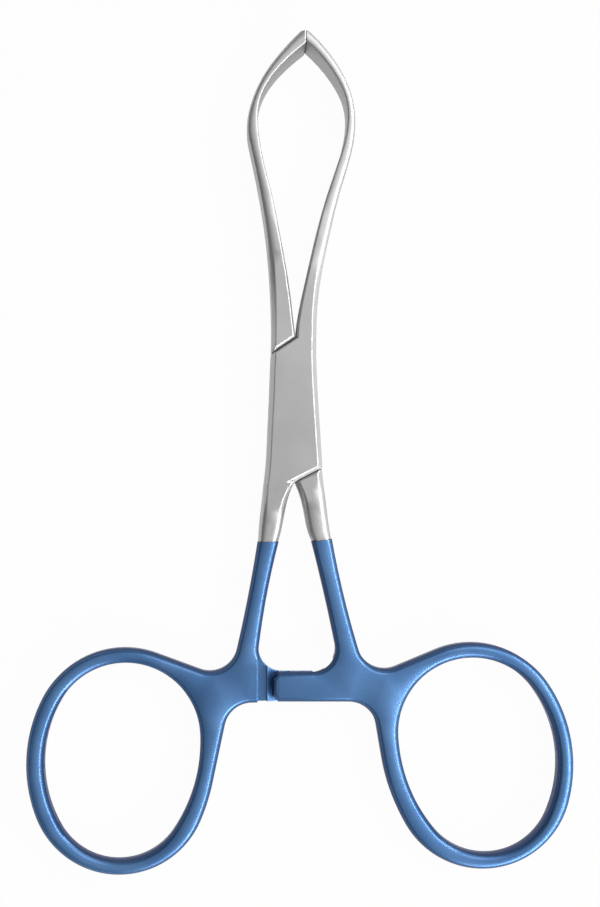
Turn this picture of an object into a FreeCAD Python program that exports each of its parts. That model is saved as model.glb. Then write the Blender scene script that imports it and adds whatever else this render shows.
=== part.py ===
"""Towel clamp with a box lock, blunt jaws, a ratchet and coated ring handles.

The clamp lies closed on the plane Z = 0. The origin is on the pivot axis at
the underside of the lock, X runs to the right, Y runs towards the jaws and Z
points up. All sizes are in millimetres.

Each half is one forging. The box half carries the right jaw, the slotted box
and the left handle. The tongue half carries the left jaw, the tongue that
passes through the slot and the right handle.
"""
import FreeCAD, Part
import math
import os
from FreeCAD import Vector

# Depths, measured along Z and centred on the clamp's middle plane
LOCK_DEPTH = 5.6
TIP_DEPTH = 5.6
BOW_DEPTH = 4.9
HANDLE_DEPTH = 3.2

# Box lock
CHEEK = 1.65
TONGUE_PLAY = 0.05
EYE_RADIUS = 2.9
EYE_PLAY = 0.06
PIN_RADIUS = 1.2
PIN_PLAY = 0.04
SHOULDER_GAP = 0.08
STOP_ANGLE = 52.0
TONGUE_ROOT = 1.0
UPPER_CORNER = (-3.88, 8.6)
UPPER_CROTCH = (0.05, 11.2)
LOWER_CORNER = (4.15, -9.05)
LOWER_CROTCH = (-0.25, -11.3)
LOCK_BEVEL = 0.7
LIMB_ROOT_BEVEL = 0.65
CHEEK_UPPER_BEVEL = 0.15
CHEEK_LOWER_BEVEL = 0.6
SHOULDER_BEVEL = 0.55

# Sides of the box, from the jaw end to the ring end
BOX_LEFT_SIDE = [(-4.04, 4.9), (-4.15, 1.8), (-4.4, -3.0), (-4.62, -7.75)]
BOX_LEFT_FOOT = -4.98
BOX_RIGHT_SIDE = [(3.17, 8.5), (3.29, 4.9), (3.46, 1.8), (3.77, -3.0)]
BOX_RIGHT_HEAD = 3.18

# Jaws
CONTACT_X = 1.55
TIP_Y = 59.17
TIP_GAP = 0.05
JAW_OUTER_BEVEL = 0.6
JAW_CROWN_SHARE = 0.5
JAW_INNER_BEVEL = 0.26
JAW_ROOT_INNER_BEVEL = 0.3
JAW_SOFTNESS = 0.8
# Places along each jaw: outer edge, inner edge, share of the way from the
# root's depth to the bow's depth
LEFT_JAW = [
    ((-3.86, 7.5), (0.45, 7.5), 0.0),
    ((-3.8, 11.4), (-0.1, 11.4), 0.03),
    ((-3.92, 17.5), (-0.8, 17.3), 0.15),
    ((-4.5, 25.5), (-2.05, 25.2), 0.5),
    ((-4.98, 29.4), (-2.81, 29.2), 0.7),
    ((-5.75, 34.0), (-3.72, 33.6), 0.85),
    ((-7.1, 40.6), (-5.35, 40.3), 1.0),
    ((-7.66, 44.6), (-5.92, 44.7), 1.0),
    ((-6.86, 48.5), (-5.7, 48.1), 0.9),
    ((-4.85, 52.7), (-3.9, 51.9), 0.6),
    ((-2.1, 56.3), (-0.9, 55.2), 0.3),
    ((0.28, 58.8), (1.37, 57.1), 0.09),
    ((2.8, 60.8), (3.6, 59.0), 0.0),
]
RIGHT_JAW = [
    ((BOX_RIGHT_HEAD, UPPER_CROTCH[1]), UPPER_CROTCH, 0.0),
    ((3.25, 14.3), (0.32, 14.4), 0.07),
    ((3.47, 17.4), (0.92, 17.6), 0.15),
    ((4.78, 25.2), (2.69, 25.5), 0.5),
    ((6.88, 34.0), (5.08, 34.3), 0.85),
    ((8.73, 40.4), (7.2, 40.7), 1.0),
    ((9.31, 45.6), (8.06, 45.6), 1.0),
    ((8.85, 48.9), (7.78, 48.5), 0.9),
    ((6.92, 53.4), (5.9, 52.55), 0.6),
    ((4.84, 56.35), (3.9, 55.2), 0.3),
    ((2.41, 58.9), (1.6, 57.5), 0.09),
    ((0.0, 60.95), (-0.8, 59.6), 0.0),
]

# Steel shanks between the lock and the coat
LEFT_SHANK = [
    ((BOX_LEFT_FOOT, LOWER_CROTCH[1]), LOWER_CROTCH),
    ((-5.2, -13.4), (-1.12, -13.4)),
    ((-5.57, -16.6), (-1.83, -16.6)),
]
RIGHT_SHANK = [
    ((3.96, -7.6), (-1.2, -7.6)),
    ((4.32, -11.35), (-0.05, -11.35)),
    ((4.6, -13.4), (0.72, -13.4)),
    ((5.02, -16.6), (1.45, -16.6)),
]
SHANK_ROUND = 1.1
SHANK_ROOT_BEVEL = 0.3

# Coat on the handles
COAT = 0.12
CORE_BEVEL = 0.72
COAT_TOP = -20.65
EDGE_MARGIN = 1.0
LEFT_COAT_EDGE = ((-6.0, COAT_TOP), (-2.6, COAT_TOP))
RIGHT_COAT_EDGE = ((5.78, COAT_TOP + 0.45), (2.48, COAT_TOP + 0.05))

# Finger holes: ovals of four arcs. Head and foot are circles whose centres
# stand a spread apart, a wide arc joins them on the far side of the ring and
# another on the near side, next to the shank
HOLE_SPREAD = 9.0
HOLE_HEAD_RADIUS = 11.75
HOLE_FOOT_RADIUS = 10.45
HOLE_FAR_RADIUS = 19.9
HOLE_NEAR_RADIUS = 25.5
LEFT_HOLE_CENTRE = (-27.36, -55.95)
LEFT_HOLE_LEAN = -7.6
RIGHT_HOLE_CENTRE = (28.99, -55.05)
RIGHT_HOLE_LEAN = 13.5

# Outside of the rings: the same kind of oval, given by how far each size
# differs from the hole's
RING_SPREAD_LESS = 1.8
RING_HEAD_MORE = 2.8
RING_FOOT_MORE = 3.55
RING_FAR_MORE = 3.1
RING_NEAR_MORE = 5.5
LEFT_RING_CENTRE = (-27.4, -55.57)
LEFT_RING_LEAN = -6.9
RIGHT_RING_CENTRE = (28.65, -54.68)
RIGHT_RING_LEAN = 13.5
HANDLE_ROUND = 1.12

# Sides of the coated shanks: a place halfway and the corner where each meets
# the ring or the ratchet arm
LEFT_OUTER_SIDE = ((-7.92, -31.5), (-10.45, -42.55))
LEFT_INNER_SIDE = ((-4.96, -31.5), (-6.2, -41.2))
LEFT_LOWER_CORNER = (-10.4, -46.08)
RIGHT_OUTER_SIDE = ((8.2, -31.5), (11.4, -42.25))
RIGHT_INNER_SIDE = ((5.1, -31.5), (7.03, -41.15))
RIGHT_LOWER_CORNER = (12.1, -45.85)
WEB_OUTER_ROUND = 4.4
WEB_INNER_ROUND = 3.6
WEB_LOWER_ROUND = 4.4

# Ratchet arms and their teeth
ARM_END = 3.7
ARM_FOOT = -45.85
ARM_STEP = 6.0
ARM_PLAY = 0.1
ARM_CORNER = 1.0
ARM_SHOULDER = -39.0
ARM_FLOOR = -48.0
TOOTH_HEIGHT = 0.6
TOOTH_PITCH = 1.8
TOOTH_COUNT = 3
FIRST_TOOTH = 4.5

# Worked out from the sizes above
MIDDLE = LOCK_DEPTH / 2.0
SLOT_LOW = CHEEK
SLOT_HIGH = LOCK_DEPTH - CHEEK
SLOT_REACH = 2.0 * EYE_RADIUS
FAR = 40.0
CIRCLE_SOFTNESS = 0.83


def flat(point, height=0.0):
    """Turn an (x, y) pair into a vector at the given height."""
    return Vector(point[0], point[1], height)


def polygon(points, height=0.0):
    """Closed wire of straight edges through (x, y) pairs."""
    corners = [flat(point, height) for point in points]
    return Part.makePolygon(corners + corners[:1])


def prism(wire, low, high):
    """Solid of a flat wire at Z = 0, from one height to another."""
    face = Part.Face(wire)
    face.translate(Vector(0, 0, low))
    return face.extrude(Vector(0, 0, high - low))


def smooth(points, start=None, end=None):
    """Curve through the points, leaving and arriving in given directions."""
    curve = Part.BSplineCurve()
    curve.interpolate(Points=points)
    if start is not None:
        reach = curve.getPole(2).distanceToPoint(curve.getPole(1))
        curve.setPole(2, curve.getPole(1) + start * reach)
    if end is not None:
        last = curve.NbPoles
        reach = curve.getPole(last).distanceToPoint(curve.getPole(last - 1))
        curve.setPole(last - 1, curve.getPole(last) - end * reach)
    return curve


def turned(point, degrees):
    """An (x, y) pair turned about the pivot."""
    angle = math.radians(degrees)
    return (point[0] * math.cos(angle) - point[1] * math.sin(angle),
            point[0] * math.sin(angle) + point[1] * math.cos(angle))


# Limbs: a stack of four-sided sections with eased corners

def section(outer, inner, depth, outer_cut, inner_cut, softness):
    """Closed wire of one section of a limb, upright on the chord outer-inner.

    Each cut says how far its corners are eased down the side and across the face.
    """
    left, right = flat(outer), flat(inner)
    along = (right - left).normalize()
    low, high = MIDDLE - depth / 2.0, MIDDLE + depth / 2.0
    corners = [(left, low, along, 1, outer_cut), (right, low, -along, 1, inner_cut),
               (right, high, -along, -1, inner_cut), (left, high, along, -1, outer_cut)]
    starts, ends, controls = [], [], []
    for index, (base, height, inward, upward, (down, across)) in enumerate(corners):
        corner = base + Vector(0, 0, height)
        on_side = corner + Vector(0, 0, upward * down)
        on_face = corner + inward * across
        first, second = (on_side, on_face) if index % 2 == 0 else (on_face, on_side)
        middle = (first + second) * 0.5
        starts.append(first)
        ends.append(second)
        controls.append(middle + (corner - middle) * softness)
    edges = []
    for index in range(4):
        bend = Part.BezierCurve()
        bend.setPoles([starts[index], controls[index], ends[index]])
        edges.append(bend.toShape())
        edges.append(Part.makeLine(ends[index], starts[(index + 1) % 4]))
    return Part.Wire(edges)


def jaw(places):
    """Bowed strap of a jaw, longer than needed at the tip."""
    sections = []
    bow = max(range(len(places)), key=lambda index: places[index][2])
    for index, (outer, inner, share) in enumerate(places):
        past_bow = index > bow
        end_depth = TIP_DEPTH if past_bow else LOCK_DEPTH
        depth = end_depth + (BOW_DEPTH - end_depth) * share
        slimness = 1.0 if past_bow else share
        crown = JAW_CROWN_SHARE * (flat(outer) - flat(inner)).Length
        outer_cut = (LIMB_ROOT_BEVEL + (JAW_OUTER_BEVEL - LIMB_ROOT_BEVEL) * slimness,
                     LIMB_ROOT_BEVEL + (crown - LIMB_ROOT_BEVEL) * slimness)
        inner_bevel = JAW_ROOT_INNER_BEVEL + (JAW_INNER_BEVEL - JAW_ROOT_INNER_BEVEL) * slimness
        inner_cut = (inner_bevel, inner_bevel)
        sections.append(section(outer, inner, depth, outer_cut, inner_cut, JAW_SOFTNESS * slimness))
    return Part.makeLoft(sections, True, False)


def shank(places, edge):
    """Steel shank from the lock to just inside the coat's edge."""
    along = (flat(edge[1]) - flat(edge[0])).normalize() * COAT
    outer_end, inner_end = flat(edge[0]) + along, flat(edge[1]) - along
    stations = places + [((outer_end.x, outer_end.y), (inner_end.x, inner_end.y))]
    start, finish = places[0][0][1], outer_end.y
    coated_depth = HANDLE_DEPTH - 2 * COAT
    sections = []
    for outer, inner in stations:
        share = (outer[1] - start) / (finish - start)
        depth = LOCK_DEPTH + (coated_depth - LOCK_DEPTH) * share
        outer_cut = LIMB_ROOT_BEVEL + (SHANK_ROUND - LIMB_ROOT_BEVEL) * share
        inner_cut = SHANK_ROOT_BEVEL + (SHANK_ROUND - SHANK_ROOT_BEVEL) * math.sqrt(share)
        cuts = (outer_cut, outer_cut), (inner_cut, inner_cut)
        sections.append(section(outer, inner, depth, *cuts, CIRCLE_SOFTNESS * share))
    return Part.makeLoft(sections, True, False)


def cut_tip(strap, side):
    """Trim a jaw to the flat top and to the plane where the jaws meet."""
    top = Part.makeBox(FAR, FAR, FAR, Vector(-FAR / 2, TIP_Y, -FAR / 2))
    start = CONTACT_X + side * TIP_GAP / 2.0
    corner = start - FAR if side > 0 else start
    beyond = Part.makeBox(FAR, FAR, FAR, Vector(corner, TIP_Y - FAR / 2, -FAR / 2))
    return strap.cut(top).cut(beyond)


def shoulder_cutter(corner, crotch, bevel):
    """Prism that trims a limb square to its shoulder line, edges bevelled.

    The limb stays on the far side of the line corner-crotch from the pivot.
    """
    start, end = flat(corner), flat(crotch)
    along = (end - start).normalize()
    away = along.cross(Vector(0, 0, 1))
    if away.dot(start) < 0:
        away = -away
    profile = [(-FAR, -1.0), (SHOULDER_GAP + bevel + 1.0, -1.0), (SHOULDER_GAP, bevel),
               (SHOULDER_GAP, LOCK_DEPTH - bevel), (SHOULDER_GAP + bevel + 1.0, LOCK_DEPTH + 1.0),
               (-FAR, LOCK_DEPTH + 1.0)]
    corners = [start - along * FAR + away * reach + Vector(0, 0, height) for reach, height in profile]
    face = Part.Face(Part.makePolygon(corners + corners[:1]))
    return face.extrude(along * 2 * FAR)


# Box lock

def box_block():
    """Full-depth block of the box before its slot is cut."""
    left_side = smooth([flat((BOX_LEFT_FOOT, LOWER_CROTCH[1]))]
                       + [flat(point) for point in reversed(BOX_LEFT_SIDE)] + [flat(UPPER_CORNER)])
    right_side = smooth([flat((BOX_RIGHT_HEAD, UPPER_CROTCH[1]))]
                        + [flat(point) for point in BOX_RIGHT_SIDE] + [flat(LOWER_CORNER)])
    edges = [
        left_side.toShape(),
        Part.makeLine(flat(UPPER_CORNER), flat(UPPER_CROTCH)),
        Part.makeLine(flat(UPPER_CROTCH), flat((BOX_RIGHT_HEAD, UPPER_CROTCH[1]))),
        right_side.toShape(),
        Part.makeLine(flat(LOWER_CORNER), flat(LOWER_CROTCH)),
        Part.makeLine(flat(LOWER_CROTCH), flat((BOX_LEFT_FOOT, LOWER_CROTCH[1]))),
    ]
    return prism(Part.Wire(edges), 0.0, LOCK_DEPTH)


def rim_edges(solid, line):
    """Edges of the lock's near and far faces that lie along a line."""
    start, end = flat(line[0]), flat(line[1])
    along = (end - start).normalize()
    found = []
    for edge in solid.Edges:
        ends = [vertex.Point for vertex in edge.Vertexes]
        height = ends[0].z
        level = len(ends) == 2 and abs(ends[1].z - height) < 1e-6
        if not level or min(abs(height), abs(height - LOCK_DEPTH)) > 1e-6:
            continue
        offsets = [(Vector(place.x, place.y, 0) - start).cross(along).Length for place in ends]
        if max(offsets) < 1e-4:
            found.append(edge)
    return found


def bevelled_block():
    """Block of the box with its sides and shoulder edges bevelled."""
    foot = (BOX_LEFT_FOOT, LOWER_CROTCH[1])
    head = (BOX_RIGHT_HEAD, UPPER_CROTCH[1])
    block = box_block()
    sides = rim_edges(block, (foot, UPPER_CORNER)) + rim_edges(block, (head, LOWER_CORNER))
    block = block.makeChamfer(LOCK_BEVEL, sides)
    block = block.makeChamfer(CHEEK_UPPER_BEVEL, rim_edges(block, (UPPER_CORNER, UPPER_CROTCH)))
    return block.makeChamfer(CHEEK_LOWER_BEVEL, rim_edges(block, (LOWER_CORNER, LOWER_CROTCH)))


def touch_angle(centre, radius, point, side):
    """Direction from a circle's centre to where a line from a point touches it."""
    reach = point - centre
    return math.degrees(math.atan2(reach.y, reach.x) + side * math.acos(radius / reach.Length))


def neck(crotch, corner, radius):
    """Tangent lines of a neck: inner line and outer line as point pairs."""
    lines = []
    for point, side in ((crotch, -1), (corner, 1)):
        angle = math.radians(touch_angle(Vector(0, 0, 0), radius, flat(point), side))
        lines.append(((radius * math.cos(angle), radius * math.sin(angle)), point))
    return lines


def stretched(line, length):
    """Point on the line, the given length beyond its second point."""
    start, end = flat(line[0]), flat(line[1])
    reach = end + (end - start).normalize() * length
    return (reach.x, reach.y)


def tongue():
    """Tongue of the male half: an eye and two necks, as thick as the slot allows."""
    low, high = SLOT_LOW + TONGUE_PLAY, SLOT_HIGH - TONGUE_PLAY
    body = Part.makeCylinder(EYE_RADIUS, high - low, Vector(0, 0, low))
    for crotch, corner in ((UPPER_CROTCH, UPPER_CORNER), (LOWER_CROTCH, LOWER_CORNER)):
        across = (flat(crotch) - flat(corner)).normalize()
        tip_in, tip_out = flat(crotch) - across * EYE_PLAY, flat(corner) + across * EYE_PLAY
        away = across.cross(Vector(0, 0, 1))
        if away.dot(tip_out) < 0:
            away = -away
        root_in = tip_in + away * TONGUE_ROOT - across * TONGUE_ROOT
        root_out = tip_out + away * TONGUE_ROOT + across * TONGUE_ROOT
        inner, outer = neck((tip_in.x, tip_in.y), (tip_out.x, tip_out.y), EYE_RADIUS)
        root = [(root_in.x, root_in.y), (root_out.x, root_out.y)]
        points = [inner[0], inner[1], *root, outer[1], outer[0], (0.0, 0.0)]
        body = body.fuse(prism(polygon(points), low, high))
    return body


def slot():
    """Room in the box for the tongue, from closed to the stop."""
    radius = EYE_RADIUS + EYE_PLAY
    room = Part.makeCylinder(radius, SLOT_HIGH - SLOT_LOW, Vector(0, 0, SLOT_LOW))
    for crotch, corner in ((UPPER_CROTCH, UPPER_CORNER), (LOWER_CROTCH, LOWER_CORNER)):
        inner, outer = neck(crotch, corner, radius)
        swung = (turned(outer[0], STOP_ANGLE), turned(outer[1], STOP_ANGLE))
        across = turned(stretched(outer, SLOT_REACH), STOP_ANGLE / 2.0)
        points = [inner[0], stretched(inner, SLOT_REACH), across,
                  stretched(swung, SLOT_REACH), swung[0], (0.0, 0.0)]
        room = room.fuse(prism(polygon(points), SLOT_LOW, SLOT_HIGH))
    return room


# Handles: one flat outline each, rounded all along, with a half-depth arm

def arc_about(centre, radius, first, last):
    """Arc about a centre, from one direction in degrees to another."""
    points = []
    for angle in (first, (first + last) / 2.0, last):
        direction = Vector(math.cos(math.radians(angle)), math.sin(math.radians(angle)), 0)
        points.append(centre + direction * radius)
    return Part.Arc(*points).toShape()


class Oval:
    """Oval of four arcs that meet smoothly.

    radii are those of the head, the foot, the far side and the near side.
    turn is 1 to run round it anticlockwise and -1 to run clockwise.
    """

    def __init__(self, centre, lean, turn, spread, radii):
        self.turn = turn
        self.top = 90.0 + lean
        self.head_radius, self.foot_radius, self.far_radius, self.near_radius = radii
        along = Vector(math.cos(math.radians(self.top)), math.sin(math.radians(self.top)), 0)
        across = Vector(along.y, -along.x, 0) * turn
        self.head = flat(centre) + along * spread / 2.0
        self.foot = flat(centre) - along * spread / 2.0
        down, aside = self.side_place(spread, self.far_radius)
        self.far = self.head - along * down + across * aside
        self.far_shoulder = math.degrees(math.atan2(aside, down))
        self.far_heel = math.degrees(math.atan2(aside, down - spread))
        down, aside = self.side_place(spread, self.near_radius)
        self.near = self.head - along * down - across * aside
        self.near_shoulder = math.degrees(math.atan2(aside, down))
        self.near_heel = math.degrees(math.atan2(aside, down - spread))

    def side_place(self, spread, radius):
        """Place of a side arc's centre: down from the head's and aside of the axis."""
        to_head, to_foot = radius - self.head_radius, radius - self.foot_radius
        down = (to_head ** 2 - to_foot ** 2 + spread ** 2) / (2.0 * spread)
        return down, math.sqrt(to_head ** 2 - down ** 2)

    def run(self, grow, first, last):
        """Edges round the far side, between two directions in degrees."""
        shoulder = self.top + self.turn * self.far_shoulder
        far_heel = self.top + self.turn * self.far_heel
        near_heel = self.top + self.turn * (360.0 - self.near_heel)
        return [
            arc_about(self.head, self.head_radius + grow, first, shoulder),
            arc_about(self.far, self.far_radius + grow, shoulder, far_heel),
            arc_about(self.foot, self.foot_radius + grow, far_heel, near_heel),
            arc_about(self.near, self.near_radius + grow, near_heel, last),
        ]

    def closed(self, grow=0.0):
        """Closed outline, grown outwards by a given amount."""
        start = self.top - self.turn * self.near_shoulder
        return Part.Wire(self.run(grow, start, start + self.turn * 360.0))

    def touch_head(self, point):
        """Direction of the place where a line from a point meets the head."""
        return touch_angle(self.head, self.head_radius, point, self.turn)

    def touch_near(self, point):
        """Direction of the place where a line from a point meets the near side."""
        angle = touch_angle(self.near, self.near_radius, point, -self.turn)
        return angle + self.turn * 360.0


def finger_hole(side):
    """Oval of the left (side -1) or right (side 1) finger hole."""
    radii = (HOLE_HEAD_RADIUS, HOLE_FOOT_RADIUS, HOLE_FAR_RADIUS, HOLE_NEAR_RADIUS)
    if side < 0:
        return Oval(LEFT_HOLE_CENTRE, LEFT_HOLE_LEAN, 1, HOLE_SPREAD, radii)
    return Oval(RIGHT_HOLE_CENTRE, RIGHT_HOLE_LEAN, -1, HOLE_SPREAD, radii)


def ring_outside(side):
    """Oval of the outside of a finger ring."""
    spread = HOLE_SPREAD - RING_SPREAD_LESS
    radii = (HOLE_HEAD_RADIUS + RING_HEAD_MORE, HOLE_FOOT_RADIUS + RING_FOOT_MORE,
             HOLE_FAR_RADIUS + RING_FAR_MORE, HOLE_NEAR_RADIUS + RING_NEAR_MORE)
    if side < 0:
        return Oval(LEFT_RING_CENTRE, LEFT_RING_LEAN, 1, spread, radii)
    return Oval(RIGHT_RING_CENTRE, RIGHT_RING_LEAN, -1, spread, radii)


def beyond(inner, end, length):
    """Point past the end of the line from inner to end."""
    return flat(end) + (flat(end) - flat(inner)).normalize() * length


def handle_outline(side, ring, edge, outer, inner, lower_corner):
    """Closed outline of a coated handle with its corners still sharp.

    side is -1 for the left handle and 1 for the right one.
    """
    outer_middle, outer_corner = outer
    inner_middle, inner_corner = inner
    outer_top = beyond(outer_middle, edge[0], EDGE_MARGIN)
    inner_top = beyond(inner_middle, edge[1], EDGE_MARGIN)
    round_ring = ring.run(0.0, ring.touch_head(flat(outer_corner)), ring.touch_near(flat(lower_corner)))
    end = -side * ARM_END
    top = inner_corner[1]
    arm = [flat(lower_corner), Vector(end + side * ARM_CORNER, ARM_FOOT, 0),
           Vector(end, ARM_FOOT + ARM_CORNER, 0), Vector(end, top - ARM_CORNER, 0),
           Vector(end + side * ARM_CORNER, top, 0), flat(inner_corner)]
    edges = [
        Part.Arc(outer_top, flat(outer_middle), flat(outer_corner)).toShape(),
        Part.makeLine(flat(outer_corner), round_ring[0].firstVertex(True).Point),
        *round_ring,
        Part.makeLine(round_ring[-1].lastVertex(True).Point, flat(lower_corner)),
        *[Part.makeLine(first, last) for first, last in zip(arm, arm[1:])],
        Part.Arc(flat(inner_corner), flat(inner_middle), inner_top).toShape(),
        Part.makeLine(inner_top, outer_top),
    ]
    return Part.Wire(edges)


def handle_blank(side, inset):
    """Square-edged handle with its finger hole, inset from the coat's surface."""
    ring = ring_outside(side)
    if side < 0:
        edge, outer, inner, lower_corner = LEFT_COAT_EDGE, LEFT_OUTER_SIDE, LEFT_INNER_SIDE, LEFT_LOWER_CORNER
    else:
        edge, outer, inner, lower_corner = RIGHT_COAT_EDGE, RIGHT_OUTER_SIDE, RIGHT_INNER_SIDE, RIGHT_LOWER_CORNER
    corners = (outer[1], inner[1], lower_corner)
    blank = prism(handle_outline(side, ring, edge, outer, inner, lower_corner), 0.0, HANDLE_DEPTH)
    for corner, radius in zip(corners, (WEB_OUTER_ROUND, WEB_INNER_ROUND, WEB_LOWER_ROUND)):
        upright = [line for line in blank.Edges
                   if all((flat((end.X, end.Y)) - flat(corner)).Length < 1e-4 for end in line.Vertexes)]
        blank = blank.makeFillet(radius, upright)
    rim = min(blank.Faces, key=lambda face: face.CenterOfMass.z).OuterWire
    if inset > 0:
        rim = rim.makeOffset2D(-inset)
    depth = HANDLE_DEPTH - 2 * inset
    low, high = MIDDLE - depth / 2.0, MIDDLE + depth / 2.0
    return prism(rim, low, high).cut(prism(finger_hole(side).closed(inset), low, high))


def rims(body):
    """Edges round a handle's near and far faces, without its cut-off end."""
    found = []
    for edge in body.Edges:
        heights = [vertex.Z for vertex in edge.Vertexes]
        lowest_end = min(vertex.Y for vertex in edge.Vertexes)
        if max(heights) - min(heights) < 1e-6 and lowest_end < COAT_TOP - EDGE_MARGIN:
            found.append(edge)
    return found


def arm_cutter(side, inset):
    """Space beside a ratchet arm, with its saw teeth left standing."""
    tip = MIDDLE - ARM_PLAY / 2.0
    slope = math.atan2(TOOTH_HEIGHT, TOOTH_PITCH)
    crest = tip - inset * (1.0 + math.sin(slope)) / math.cos(slope)
    root = crest - TOOTH_HEIGHT
    profile = [(-ARM_STEP - inset, FAR), (-ARM_STEP - inset, root)]
    for index in range(TOOTH_COUNT):
        place = -FIRST_TOOTH + index * TOOTH_PITCH + inset
        profile += [(place, root), (place, crest)]
    profile += [(-FIRST_TOOTH + TOOTH_COUNT * TOOTH_PITCH + inset, root), (ARM_STEP, root), (ARM_STEP, FAR)]
    corners = [Vector(x, ARM_SHOULDER + inset, z) for x, z in profile]
    face = Part.Face(Part.makePolygon(corners + corners[:1]))
    cutter = face.extrude(Vector(0, ARM_FLOOR - ARM_SHOULDER, 0))
    if side > 0:
        cutter.rotate(Vector(0, 0, MIDDLE), Vector(0, 1, 0), 180)
    return cutter


def eased(body, radius):
    """Body with its rims eased round by three bevels that touch a circle."""
    first = radius * (2.0 - math.sqrt(2.0))
    second = radius * (math.sqrt(2.0) - 1.0 - math.tan(math.radians(11.25)))
    body = body.makeChamfer(first, rims(body))
    return body.makeChamfer(second, rims(body))


def coated_handle(side):
    """Handle as the hand finds it: coated, rounded all along."""
    bar = ring_outside(side).closed().distToShape(finger_hole(side).closed())[0]
    body = eased(handle_blank(side, 0.0), min(HANDLE_ROUND, bar * 0.49))
    return body.cut(arm_cutter(side, 0.0)).cut(above(side))


def handle_core(side):
    """Steel under the coat, its edges bevelled where the coat is thickest."""
    blank = handle_blank(side, COAT)
    body = blank.makeChamfer(CORE_BEVEL, rims(blank))
    return body.cut(arm_cutter(side, COAT)).cut(above(side))


def above(side):
    """Space on the lock's side of the coat's edge."""
    edge = RIGHT_COAT_EDGE if side > 0 else LEFT_COAT_EDGE
    along = (flat(edge[0]) - flat(edge[1])).normalize() * FAR
    low, high = flat(edge[1]) - along, flat(edge[0]) + along
    up = Vector(0, FAR, 0)
    corners = [low, high, high + up, low + up]
    return prism(Part.makePolygon(corners + corners[:1]), 0.0, LOCK_DEPTH)


# Pieces

def box_half():
    """Female half: right jaw, slotted box, left shank and left handle core."""
    right_jaw = cut_tip(jaw(RIGHT_JAW), 1)
    body = bevelled_block().fuse([right_jaw, shank(LEFT_SHANK, LEFT_COAT_EDGE), handle_core(-1)])
    body = body.cut(slot())
    return body.cut(Part.makeCylinder(PIN_RADIUS, LOCK_DEPTH)).removeSplitter()


def tongue_half():
    """Male half: left jaw, tongue, right shank and right handle core."""
    left_jaw = cut_tip(jaw(LEFT_JAW), -1)
    left_jaw = left_jaw.cut(shoulder_cutter(UPPER_CORNER, UPPER_CROTCH, SHOULDER_BEVEL))
    right_shank = shank(RIGHT_SHANK, RIGHT_COAT_EDGE)
    right_shank = right_shank.cut(shoulder_cutter(LOWER_CORNER, LOWER_CROTCH, SHOULDER_BEVEL))
    body = tongue().fuse([left_jaw, right_shank, handle_core(1)])
    return body.cut(Part.makeCylinder(PIN_RADIUS + PIN_PLAY, LOCK_DEPTH)).removeSplitter()


def pivot_pin():
    """Rivet through both cheeks and the tongue, flush with the box."""
    return Part.makeCylinder(PIN_RADIUS, LOCK_DEPTH)


def handle_coat(side):
    """Coat over one handle, open where the shank enters it."""
    return coated_handle(side).cut(handle_core(side))


def main():
    """Build every piece and write it out."""
    os.makedirs("parts", exist_ok=True)
    pieces = {
        "box_half": box_half(),
        "tongue_half": tongue_half(),
        "pivot_pin": pivot_pin(),
        "left_handle_coat": handle_coat(-1),
        "right_handle_coat": handle_coat(1),
    }
    for name, shape in pieces.items():
        solids = shape.Solids
        piece = solids[0] if len(solids) == 1 else shape
        piece.exportStep(f"parts/{name}.step")
        state = "valid" if piece.isValid() else "NOT VALID"
        print(name, len(solids), "solid", round(piece.Volume, 1), "mm3", state)


if __name__ == "__main__":
    main()
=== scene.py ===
"""Towel clamp with a box lock, dressed in satin steel and a blue coat.

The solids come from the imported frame, in metres: the origin lies on the pivot
axis at the lock's underside, +Y points to the jaw tips and +Z up. The clamp
lies on a pale floor and the camera looks straight down on it from near by.
"""
import logging
import math
from dataclasses import dataclass, field
from enum import Enum, IntEnum

import bpy
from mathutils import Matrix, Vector

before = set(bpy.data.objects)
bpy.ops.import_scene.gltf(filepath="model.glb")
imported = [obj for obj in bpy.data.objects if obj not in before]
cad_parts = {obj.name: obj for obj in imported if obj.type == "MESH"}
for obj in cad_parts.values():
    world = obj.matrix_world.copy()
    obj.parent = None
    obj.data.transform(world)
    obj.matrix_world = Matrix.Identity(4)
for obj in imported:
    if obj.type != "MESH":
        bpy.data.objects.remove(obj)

logging.basicConfig(level=logging.INFO, format="%(name)s: %(message)s")
LOG = logging.getLogger("towel_clamp")

MM = 0.001
WHITE = (1.0, 1.0, 1.0, 1.0)
BEVEL_SAMPLES = 12
FINE_DETAIL = 2.0
WELD_MM = 0.0005


class Body(Enum):
    """Bodies of the clamp, as the hinge joins them."""

    BOX_SIDE = "box_side"
    TONGUE_SIDE = "tongue_side"


class MixIn(IntEnum):
    """Inputs of a Mix node by number, because several share a name."""

    FACTOR = 0
    FLOAT_A = 2
    FLOAT_B = 3
    VECTOR_A = 4
    VECTOR_B = 5
    COLOUR_A = 6
    COLOUR_B = 7


class MixOut(IntEnum):
    """Outputs of a Mix node by number, because they share a name."""

    FLOAT = 0
    VECTOR = 1
    COLOUR = 2


def srgb_to_linear(code: str) -> tuple[float, float, float, float]:
    """Turn an sRGB hex code into linear colour.

    Args:
        code: six hex digits after a hash sign.

    Returns:
        Red, green, blue and an alpha of one, linear.
    """
    channels = [int(code[start:start + 2], 16) / 255.0 for start in (1, 3, 5)]
    linear = [value / 12.92 if value <= 0.04045 else ((value + 0.055) / 1.055) ** 2.4
              for value in channels]
    return (linear[0], linear[1], linear[2], 1.0)


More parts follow.
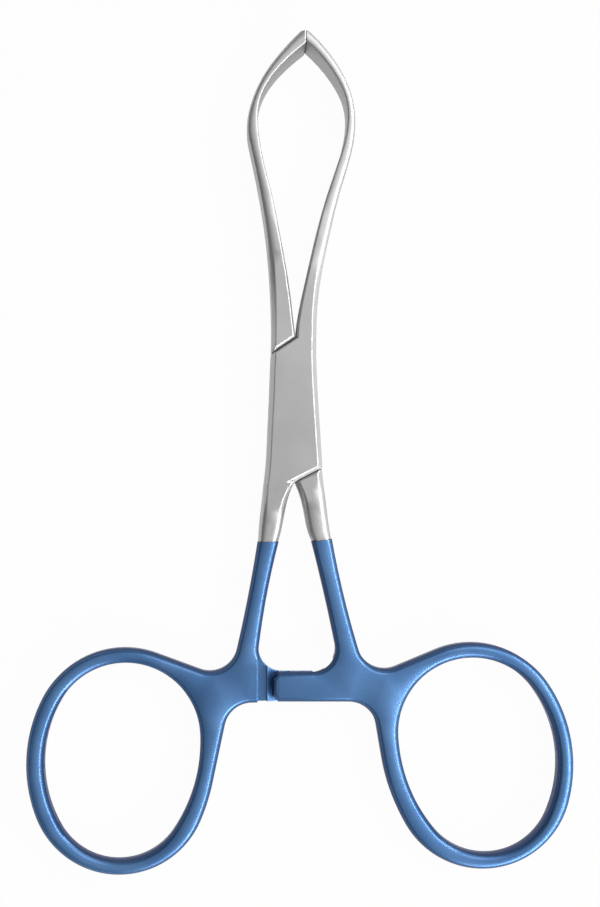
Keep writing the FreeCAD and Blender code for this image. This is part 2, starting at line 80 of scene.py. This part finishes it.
def add_node(tree: bpy.types.NodeTree, kind: str, settings: dict[str, object] | None = None,
             sockets: dict[str | int, object] | None = None) -> bpy.types.Node:
    """Add one node, with its settings, values and links.

    Args:
        tree: node tree that takes the node.
        kind: Blender's name for the type of node.
        settings: the node's own attributes.
        sockets: input name or number, to a plain value or to the output that feeds it.

    Returns:
        The new node.
    """
    node = tree.nodes.new(kind)
    for name, value in (settings or {}).items():
        setattr(node, name, value)
    for name, value in (sockets or {}).items():
        if isinstance(value, bpy.types.NodeSocket):
            tree.links.new(value, node.inputs[name])
        else:
            node.inputs[name].default_value = value
    return node


def empty_material(name: str) -> tuple[bpy.types.Material, bpy.types.NodeTree]:
    """Make a material with an empty node tree.

    Args:
        name: name of the material.

    Returns:
        The material and its tree.
    """
    material = bpy.data.materials.new(name)
    material.use_nodes = True
    material.node_tree.nodes.clear()
    return material, material.node_tree


def side_shade_share(tree: bpy.types.NodeTree, normal: bpy.types.NodeSocket, first: float,
                 full: float) -> bpy.types.NodeSocket:
    """Tell the side walls of a piece from its broad faces, for painting shade on them.

    Args:
        tree: node tree of the finish.
        normal: direction that the surface faces.
        first: lean in degrees from lying flat at which a side begins.
        full: lean in degrees from which a surface is all side.

    Returns:
        One on the sides, none on the broad faces, and a blend between.
    """
    split = add_node(tree, "ShaderNodeSeparateXYZ", None, {0: normal})
    level = add_node(tree, "ShaderNodeMath", {"operation": "ABSOLUTE"}, {0: split.outputs["Z"]})
    share = add_node(tree, "ShaderNodeMapRange", None,
                     {"Value": level.outputs[0], "From Min": math.cos(math.radians(first)),
                      "From Max": math.cos(math.radians(full))})
    return share.outputs[0]


@dataclass(frozen=True)
class BlastedSteel:
    """Stainless instrument steel, bead blasted to a satin grey.

    The blast leaves pits a few hundredths of a millimetre wide, which scatter
    reflections into a soft sheen. Handling and the last polish leave the sharp
    edges a little smoother than the faces, and they are coloured lighter as a
    painted highlight. The side walls are coloured darker as painted shade. The
    rivet is ground down with the lock, so no edge shows round it.

    Attributes:
        name: name of the material.
        face: colour of the faces where they are palest.
        shade: colour of the faces where they are deepest.
        edge: colour of the polished edges, lighter than the faces as a painted highlight.
        wall: darker colour of the side walls, which is painted shade.
        wall_shade_from: lean in degrees at which the painted shade of a side wall begins.
        wall_shade_full: lean in degrees from which a surface is all in painted shade.
        roughness: roughness of faces and side walls.
        roughness_drift: how far that roughness strays to either side.
        edge_roughness: roughness of the polished edges.
        cloud_mm: size of the slow changes of tone on a face.
        cloud_detail: number of finer steps in them.
        cloud_fineness: strength of each finer step.
        tone_span: cloud values between which the tone changes.
        drift_span: cloud values between which the roughness strays.
        grain_mm: size of the blasted grain as drawn.
        grain_fineness: strength of each finer step of the grain.
        relief_mm: height of the grain.
        relief_strength: how strongly the grain's height shades.
        edge_round_mm: radius to which sharp edges are shaded.
        edge_span: closeness of the plain and the rounded direction at which an
            edge begins, and at which it is full.
        flush_radius_mm: radius round the rivet's axis that stays without edges.
    """

    name: str = "bead_blasted_stainless_steel"
    face: str = "#C6C6C6"
    shade: str = "#C1C1C1"
    edge: str = "#DEDEDE"
    wall: str = "#999999"
    wall_shade_from: float = 53.0
    wall_shade_full: float = 81.0
    roughness: float = 0.42
    roughness_drift: float = 0.02
    edge_roughness: float = 0.32
    cloud_mm: float = 7.0
    cloud_detail: float = 3.0
    cloud_fineness: float = 0.55
    tone_span: tuple[float, float] = (0.35, 0.65)
    drift_span: tuple[float, float] = (0.3, 0.7)
    grain_mm: float = 0.22
    grain_fineness: float = 0.6
    relief_mm: float = 0.004
    relief_strength: float = 0.35
    edge_round_mm: float = 0.30
    edge_span: tuple[float, float] = (0.99, 0.88)
    flush_radius_mm: float = 1.7

    def material(self) -> bpy.types.Material:
        """Build the steel from noise at the scale of the blast and an edge mask.

        Returns:
            The material.
        """
        material, tree = empty_material(self.name)
        place = add_node(tree, "ShaderNodeTexCoord").outputs["Object"]
        plain = add_node(tree, "ShaderNodeNewGeometry").outputs["Normal"]
        cloud = add_node(tree, "ShaderNodeTexNoise", None,
                         {"Vector": place, "Scale": 1.0 / (self.cloud_mm * MM),
                          "Detail": self.cloud_detail, "Roughness": self.cloud_fineness})
        # The real pits are too fine to show, so the grain is drawn about four times as coarse
        grain = add_node(tree, "ShaderNodeTexNoise", None,
                         {"Vector": place, "Scale": 1.0 / (self.grain_mm * MM),
                          "Detail": FINE_DETAIL, "Roughness": self.grain_fineness})
        rounded = self.rounded_edges(tree, place, plain)
        edges = self.edge_mask(tree, plain, rounded)
        colour = self.tint(tree, cloud.outputs["Fac"], plain, edges)
        drift = add_node(tree, "ShaderNodeMapRange", None,
                         {"Value": cloud.outputs["Fac"],
                          "From Min": self.drift_span[0], "From Max": self.drift_span[1],
                          "To Min": self.roughness - self.roughness_drift,
                          "To Max": self.roughness + self.roughness_drift})
        rough = add_node(tree, "ShaderNodeMix", None,
                         {MixIn.FACTOR: edges, MixIn.FLOAT_A: drift.outputs[0],
                          MixIn.FLOAT_B: self.edge_roughness})
        relief = add_node(tree, "ShaderNodeBump", None,
                          {"Strength": self.relief_strength, "Distance": self.relief_mm * MM,
                           "Height": grain.outputs["Fac"], "Normal": rounded})
        shader = add_node(tree, "ShaderNodeBsdfPrincipled", None,
                          {"Base Color": colour, "Metallic": 1.0,
                           "Roughness": rough.outputs[MixOut.FLOAT],
                           "Normal": relief.outputs["Normal"]})
        add_node(tree, "ShaderNodeOutputMaterial", None, {"Surface": shader.outputs["BSDF"]})
        return material

    def rounded_edges(self, tree: bpy.types.NodeTree, place: bpy.types.NodeSocket,
                      plain: bpy.types.NodeSocket) -> bpy.types.NodeSocket:
        """Round the sharp edges in the shading, but not the rivet's.

        Args:
            tree: node tree of the steel.
            place: position on the clamp, from the rivet's axis.
            plain: direction that the surface faces.

        Returns:
            The direction that the rounded surface faces.
        """
        eased = add_node(tree, "ShaderNodeBevel", {"samples": BEVEL_SAMPLES},
                         {"Radius": self.edge_round_mm * MM})
        flat = add_node(tree, "ShaderNodeVectorMath", {"operation": "MULTIPLY"},
                        {0: place, 1: (1.0, 1.0, 0.0)})
        from_axis = add_node(tree, "ShaderNodeVectorMath", {"operation": "LENGTH"},
                             {0: flat.outputs["Vector"]})
        off_rivet = add_node(tree, "ShaderNodeMath", {"operation": "GREATER_THAN"},
                             {0: from_axis.outputs["Value"], 1: self.flush_radius_mm * MM})
        rounded = add_node(tree, "ShaderNodeMix", {"data_type": "VECTOR"},
                           {MixIn.FACTOR: off_rivet.outputs[0], MixIn.VECTOR_A: plain,
                            MixIn.VECTOR_B: eased.outputs["Normal"]})
        return rounded.outputs[MixOut.VECTOR]

    def edge_mask(self, tree: bpy.types.NodeTree, plain: bpy.types.NodeSocket,
                  rounded: bpy.types.NodeSocket) -> bpy.types.NodeSocket:
        """Find the edges, where the rounded surface turns away from the plain one.

        Args:
            tree: node tree of the steel.
            plain: direction that the surface faces.
            rounded: direction that the rounded surface faces.

        Returns:
            One on an edge, none on a face, and a blend between.
        """
        closeness = add_node(tree, "ShaderNodeVectorMath", {"operation": "DOT_PRODUCT"},
                             {0: plain, 1: rounded})
        edges = add_node(tree, "ShaderNodeMapRange", None,
                         {"Value": closeness.outputs["Value"],
                          "From Min": self.edge_span[0], "From Max": self.edge_span[1]})
        return edges.outputs[0]

    def tint(self, tree: bpy.types.NodeTree, cloud: bpy.types.NodeSocket,
             plain: bpy.types.NodeSocket, edges: bpy.types.NodeSocket) -> bpy.types.NodeSocket:
        """Colour the faces, then paint shade on the side walls and a highlight on the edges.

        Args:
            tree: node tree of the steel.
            cloud: slow noise that the tone of a face follows.
            plain: direction that the surface faces.
            edges: mask of the edges.

        Returns:
            The colour.
        """
        tone = add_node(tree, "ShaderNodeMapRange", None,
                        {"Value": cloud, "From Min": self.tone_span[0],
                         "From Max": self.tone_span[1]})
        faces = add_node(tree, "ShaderNodeMix", {"data_type": "RGBA"},
                         {MixIn.FACTOR: tone.outputs[0],
                          MixIn.COLOUR_A: srgb_to_linear(self.shade),
                          MixIn.COLOUR_B: srgb_to_linear(self.face)})
        # Painted shade: the side walls take a darker colour
        walls = add_node(tree, "ShaderNodeMix", {"data_type": "RGBA"},
                         {MixIn.FACTOR: side_shade_share(tree, plain, self.wall_shade_from, self.wall_shade_full),
                          MixIn.COLOUR_A: faces.outputs[MixOut.COLOUR],
                          MixIn.COLOUR_B: srgb_to_linear(self.wall)})
        # Painted highlight: the edges take a lighter colour than the faces
        colour = add_node(tree, "ShaderNodeMix", {"data_type": "RGBA"},
                          {MixIn.FACTOR: edges, MixIn.COLOUR_A: walls.outputs[MixOut.COLOUR],
                           MixIn.COLOUR_B: srgb_to_linear(self.edge)})
        return colour.outputs[MixOut.COLOUR]


@dataclass(frozen=True)
class BlueCoat:
    """Baked blue coat on steel: a thin, even film with a soft metallic sheen.

    Fine flakes and the steel's blast make its tone a little uneven, and its
    clear top layer gives the bright lines along the rounded bars. Its side
    walls are coloured darker as painted shade.

    Attributes:
        name: name of the material.
        deep: colour of the broad faces where they are deepest.
        pale: colour of the broad faces where they are palest.
        side: darker colour of the side walls, which is painted shade.
        side_shade_from: lean in degrees at which the painted shade of a side wall begins.
        side_shade_full: lean in degrees from which a surface is all in painted shade.
        roughness: roughness of the flaked layer.
        metallic: share of the flaked layer that mirrors as metal does.
        film_weight: strength of the clear top layer.
        film_roughness: roughness of the clear top layer.
        grazing_tint: colour of reflections at a grazing angle.
        cloud_mm: size of the slow changes of tone.
        fleck_mm: size of the flakes as drawn.
        fleck_share: strength of the flakes beside the slow changes.
        tone_span: values of both together between which the tone changes.
        peel_mm: size of the waves in the top layer.
        relief_mm: height of the waves.
        relief_strength: how strongly the waves' height shades.
        edge_round_mm: radius to which sharp edges are shaded.
    """

    name: str = "baked_blue_coating_on_steel"
    deep: str = "#4B76AB"
    pale: str = "#5F8BBF"
    side: str = "#1E3A62"
    side_shade_from: float = 15.0
    side_shade_full: float = 62.0
    roughness: float = 0.36
    metallic: float = 0.75
    film_weight: float = 0.40
    film_roughness: float = 0.17
    grazing_tint: str = "#7F9CC0"
    cloud_mm: float = 9.0
    fleck_mm: float = 0.15
    fleck_share: float = 0.4
    tone_span: tuple[float, float] = (0.5, 0.9)
    peel_mm: float = 0.5
    relief_mm: float = 0.0015
    relief_strength: float = 0.3
    edge_round_mm: float = 0.25

    def material(self) -> bpy.types.Material:
        """Build the coat from a tinted metallic base under a weak clear film.

        Returns:
            The material.
        """
        material, tree = empty_material(self.name)
        place = add_node(tree, "ShaderNodeTexCoord").outputs["Object"]
        # Flecks are drawn a few times as coarse as the real flakes, or they wouldn't show
        cloud, fleck, peel = (
            add_node(tree, "ShaderNodeTexNoise", None,
                     {"Vector": place, "Scale": 1.0 / (size * MM),
                      "Detail": FINE_DETAIL}).outputs["Fac"]
            for size in (self.cloud_mm, self.fleck_mm, self.peel_mm))
        mottle = add_node(tree, "ShaderNodeMath", {"operation": "MULTIPLY_ADD"},
                          {0: fleck, 1: self.fleck_share, 2: cloud})
        tone = add_node(tree, "ShaderNodeMapRange", None,
                        {"Value": mottle.outputs[0], "From Min": self.tone_span[0],
                         "From Max": self.tone_span[1]})
        faces = add_node(tree, "ShaderNodeMix", {"data_type": "RGBA"},
                         {MixIn.FACTOR: tone.outputs[0],
                          MixIn.COLOUR_A: srgb_to_linear(self.deep),
                          MixIn.COLOUR_B: srgb_to_linear(self.pale)})
        rounded = add_node(tree, "ShaderNodeBevel", {"samples": BEVEL_SAMPLES},
                           {"Radius": self.edge_round_mm * MM}).outputs["Normal"]
        # Painted shade: the side walls, found by the rounded direction, take a darker colour
        colour = add_node(tree, "ShaderNodeMix", {"data_type": "RGBA"},
                          {MixIn.FACTOR: side_shade_share(tree, rounded, self.side_shade_from,
                                                      self.side_shade_full),
                           MixIn.COLOUR_A: faces.outputs[MixOut.COLOUR],
                           MixIn.COLOUR_B: srgb_to_linear(self.side)})
        relief = add_node(tree, "ShaderNodeBump", None,
                          {"Strength": self.relief_strength, "Distance": self.relief_mm * MM,
                           "Height": peel, "Normal": rounded})
        shader = add_node(tree, "ShaderNodeBsdfPrincipled", None,
                          {"Base Color": colour.outputs[MixOut.COLOUR],
                           "Metallic": self.metallic, "Roughness": self.roughness,
                           "Specular Tint": srgb_to_linear(self.grazing_tint),
                           "Coat Weight": self.film_weight,
                           "Coat Roughness": self.film_roughness,
                           "Normal": relief.outputs["Normal"]})
        add_node(tree, "ShaderNodeOutputMaterial", None, {"Surface": shader.outputs["BSDF"]})
        return material


def smooth_by_angle(degrees: float) -> bpy.types.NodeTree:
    """Make the modifier that joins a solid's facets and keeps its true edges sharp.

    Args:
        degrees: angle between facets above which an edge stays sharp.

    Returns:
        The geometry node tree.
    """
    tree = bpy.data.node_groups.new("smooth_by_angle", "GeometryNodeTree")
    for direction in ("INPUT", "OUTPUT"):
        tree.interface.new_socket("Geometry", in_out=direction, socket_type="NodeSocketGeometry")
    source = add_node(tree, "NodeGroupInput")
    joined = add_node(tree, "GeometryNodeMergeByDistance", None,
                      {"Geometry": source.outputs[0], "Distance": WELD_MM * MM})
    angle = add_node(tree, "GeometryNodeInputMeshEdgeAngle")
    soft = add_node(tree, "FunctionNodeCompare", {"data_type": "FLOAT", "operation": "LESS_THAN"},
                    {0: angle.outputs["Unsigned Angle"], 1: math.radians(degrees)})
    faces = add_node(tree, "GeometryNodeSetShadeSmooth", {"domain": "FACE"},
                     {"Geometry": joined.outputs[0], "Shade Smooth": True})
    edges = add_node(tree, "GeometryNodeSetShadeSmooth", {"domain": "EDGE"},
                     {"Geometry": faces.outputs[0], "Shade Smooth": soft.outputs[0]})
    add_node(tree, "NodeGroupOutput", None, {0: edges.outputs[0]})
    return tree


def dress(node: str, material: bpy.types.Material,
          smoothing: bpy.types.NodeTree) -> bpy.types.Object:
    """Give a solid of the frame its finish and smooth shading.

    Args:
        node: name of the solid.
        material: its finish.
        smoothing: node tree that shades it.

    Returns:
        The solid's object.
    """
    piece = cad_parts[node]
    piece.data.materials.clear()
    piece.data.materials.append(material)
    modifier = piece.modifiers.new("smooth_by_angle", "NODES")
    modifier.node_group = smoothing
    LOG.info("%s: %s, %d facets", node, material.name, len(piece.data.polygons))
    return piece


@dataclass
class ClampHalf:
    """One forging with the coat on its handle.

    Attributes:
        steel_node: solid of the bare steel.
        coat_node: solid of the coat.
        body: body that both ride on.
        edge_angle: facets that meet at less than this are shaded as one surface.
    """

    steel_node: str
    coat_node: str
    body: Body
    edge_angle: float = 24.0

    def build(self, steel: bpy.types.Material,
              coat: bpy.types.Material) -> list[bpy.types.Object]:
        """Dress both solids of this half.

        Args:
            steel: finish of the jaw, lock and shank.
            coat: finish of the handle.

        Returns:
            The dressed objects.
        """
        LOG.info("%s: %s with %s", self.body.value, self.steel_node, self.coat_node)
        smoothing = smooth_by_angle(self.edge_angle)
        return [dress(self.steel_node, steel, smoothing), dress(self.coat_node, coat, smoothing)]


@dataclass
class Pivot:
    """Rivet of the lock, ground flush with both cheeks.

    Attributes:
        node: solid of the rivet.
        edge_angle: facets that meet at less than this are shaded as one surface.
    """

    node: str = "pivot_pin"
    edge_angle: float = 30.0

    def build(self, steel: bpy.types.Material) -> bpy.types.Object:
        """Dress the rivet in the steel of the lock."""
        return dress(self.node, steel, smooth_by_angle(self.edge_angle))


@dataclass
class Softbox:
    """Flat rectangular studio lamp that points at a place on the clamp.

    Attributes:
        name: name of the lamp.
        place: where it stands, in metres.
        width: size across, in metres.
        height: size along, in metres.
        watts: power.
        aim: what it points at, in metres.
    """

    name: str
    place: tuple[float, float, float]
    width: float
    height: float
    watts: float
    aim: tuple[float, float, float] = (0.0, 0.0, 0.0)

    def build(self) -> bpy.types.Object:
        """Make the lamp and turn it towards its aim.

        Returns:
            The lamp's object.
        """
        lamp = bpy.data.lights.new(self.name, "AREA")
        lamp.shape = "RECTANGLE"
        lamp.size = self.width
        lamp.size_y = self.height
        lamp.energy = self.watts
        lamp_object = bpy.data.objects.new(self.name, lamp)
        lamp_object.location = self.place
        direction = Vector(self.aim) - Vector(self.place)
        lamp_object.rotation_euler = direction.to_track_quat("-Z", "Y").to_euler()
        bpy.context.scene.collection.objects.link(lamp_object)
        return lamp_object


@dataclass
class Studio:
    """Pale floor with a low wall round it, soft lamps and a room with a bright side.

    Attributes:
        floor_radius: radius of the round floor, in metres.
        wall_height: height of the pale wall round the floor, in metres.
        wall_segments: flat pieces that the round wall is made of.
        floor_drop_mm: gap under the clamp.
        floor_colour: colour of the floor's own matt surface.
        floor_lift: share of plain white that the eye and reflections get of it.
        window: direction of the bright side of the room.
        dark_side: brightness of the room away from the window.
        bright_side: brightness of the room at the window.
        lamps: soft lamps.
    """

    floor_radius: float = 3.0
    wall_height: float = 0.60
    wall_segments: int = 64
    floor_drop_mm: float = 0.02
    floor_colour: str = "#C4C4C4"
    floor_lift: float = 0.97
    window: tuple[float, float, float] = (0.55, 0.10, 0.80)
    dark_side: float = 0.05
    bright_side: float = 0.66
    lamps: list[Softbox] = field(default_factory=lambda: [
        Softbox("far_softbox", (0.25, 0.45, 0.60), width=0.40, height=0.40, watts=1.1),
        Softbox("right_strip", (0.47, -0.10, 0.40), width=1.30, height=0.08, watts=4.6),
        Softbox("near_softbox", (0.22, -0.52, 0.26), width=0.36, height=0.20, watts=1.2),
    ])

    def build(self) -> None:
        """Make the floor, the lamps and the room."""
        self.make_floor()
        for lamp in self.lamps:
            lamp.build()
        self.make_room()
        LOG.info("studio: %d lamps", len(self.lamps))

    def make_room(self) -> None:
        """Fill the room with grey light that grows from its dark side to its window."""
        world = bpy.data.worlds.new("studio_room")
        world.use_nodes = True
        tree = world.node_tree
        tree.nodes.clear()
        heading = add_node(tree, "ShaderNodeTexCoord").outputs["Generated"]
        facing = add_node(tree, "ShaderNodeVectorMath", {"operation": "DOT_PRODUCT"},
                          {0: heading, 1: tuple(Vector(self.window).normalized())})
        strength = add_node(tree, "ShaderNodeMapRange", {"interpolation_type": "SMOOTHSTEP"},
                            {"Value": facing.outputs["Value"], "From Min": 0.0, "From Max": 1.0,
                             "To Min": self.dark_side, "To Max": self.bright_side})
        light = add_node(tree, "ShaderNodeBackground", None,
                         {"Color": WHITE, "Strength": strength.outputs[0]})
        add_node(tree, "ShaderNodeOutputWorld", None, {"Surface": light.outputs[0]})
        bpy.context.scene.world = world

    def make_floor(self) -> bpy.types.Object:
        """Lay a round floor just under the clamp and stand a low wall round it.

        Returns:
            The floor with its wall.
        """
        count = self.wall_segments
        angles = [2.0 * math.pi * index / count for index in range(count)]
        rim = [(self.floor_radius * math.cos(angle), self.floor_radius * math.sin(angle))
               for angle in angles]
        corners = [(x, y, height) for height in (0.0, self.wall_height) for x, y in rim]
        wall = [(index, (index + 1) % count, count + (index + 1) % count, count + index)
                for index in range(count)]
        mesh = bpy.data.meshes.new("floor")
        mesh.from_pydata(corners, [], [tuple(range(count)), *wall])
        mesh.materials.append(self.floor_material())
        floor = bpy.data.objects.new("floor", mesh)
        floor.location.z = -self.floor_drop_mm * MM
        bpy.context.scene.collection.objects.link(floor)
        return floor

    def floor_material(self) -> bpy.types.Material:
        """Make a matt surface that is white to the eye, but for a trace of shadow.

        Returns:
            The material of the floor and its wall.
        """
        material, tree = empty_material("pale_studio_floor")
        # Its glow only reaches the eye and reflections, so it isn't sampled as a lamp
        material.cycles.emission_sampling = "NONE"
        path = add_node(tree, "ShaderNodeLightPath")
        mirrored = add_node(tree, "ShaderNodeMath", {"operation": "ADD"},
                            {0: path.outputs["Is Glossy Ray"],
                             1: path.outputs["Is Transmission Ray"]})
        seen = add_node(tree, "ShaderNodeMath", {"operation": "ADD", "use_clamp": True},
                        {0: path.outputs["Is Camera Ray"], 1: mirrored.outputs[0]})
        lift = add_node(tree, "ShaderNodeMath", {"operation": "MULTIPLY"},
                        {0: seen.outputs[0], 1: self.floor_lift})
        matt = add_node(tree, "ShaderNodeBsdfDiffuse", None,
                        {"Color": srgb_to_linear(self.floor_colour)})
        white = add_node(tree, "ShaderNodeEmission", None, {"Color": WHITE, "Strength": 1.0})
        mixed = add_node(tree, "ShaderNodeMixShader", None,
                         {0: lift.outputs[0], 1: matt.outputs[0], 2: white.outputs[0]})
        add_node(tree, "ShaderNodeOutputMaterial", None, {"Surface": mixed.outputs[0]})
        return material


@dataclass
class CopyStand:
    """Camera on a stand, straight above the clamp.

    Attributes:
        foot_px: where the lens axis meets the picture, in its pixels from the top left.
        pivot_px: where the pivot axis meets the floor, in the same pixels.
        picture: width and height of the picture in pixels.
        mm_per_px: size of a pixel on the floor.
        height_mm: height of the lens above the floor.
        sensor_mm: long side of the camera's sensor.
        nearest_mm: distance from which the camera sees.
    """

    foot_px: tuple[float, float] = (245.0, 480.0)
    pivot_px: tuple[float, float] = (294.5, 412.0)
    picture: tuple[int, int] = (600, 907)
    mm_per_px: float = 0.1607
    height_mm: float = 182.0
    sensor_mm: float = 36.0
    nearest_mm: float = 10.0

    def build(self) -> bpy.types.Object:
        """Place the camera and frame the picture by its shift.

        Returns:
            The camera's object.
        """
        camera = bpy.data.cameras.new("copy_stand_camera")
        width, height = self.picture
        camera.sensor_width = self.sensor_mm
        camera.lens = self.sensor_mm * self.height_mm / (height * self.mm_per_px)
        camera.shift_x = (width / 2.0 - self.foot_px[0]) / height
        camera.shift_y = (self.foot_px[1] - height / 2.0) / height
        camera.clip_start = self.nearest_mm * MM
        camera_object = bpy.data.objects.new("copy_stand_camera", camera)
        right = (self.foot_px[0] - self.pivot_px[0]) * self.mm_per_px * MM
        up = (self.pivot_px[1] - self.foot_px[1]) * self.mm_per_px * MM
        camera_object.location = (right, up, self.height_mm * MM)
        bpy.context.scene.collection.objects.link(camera_object)
        bpy.context.scene.camera = camera_object
        LOG.info("camera: %.1f mm lens", camera.lens)
        return camera_object


def main() -> None:
    """Dress the clamp, light it and place the camera."""
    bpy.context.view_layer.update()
    steel = BlastedSteel().material()
    coat = BlueCoat().material()
    ClampHalf("box_half", "left_handle_coat", Body.BOX_SIDE).build(steel, coat)
    ClampHalf("tongue_half", "right_handle_coat", Body.TONGUE_SIDE).build(steel, coat)
    Pivot().build(steel)
    Studio().build()
    CopyStand().build()
    bpy.context.scene.view_settings.view_transform = "Standard"


if __name__ == "__main__":
    main()
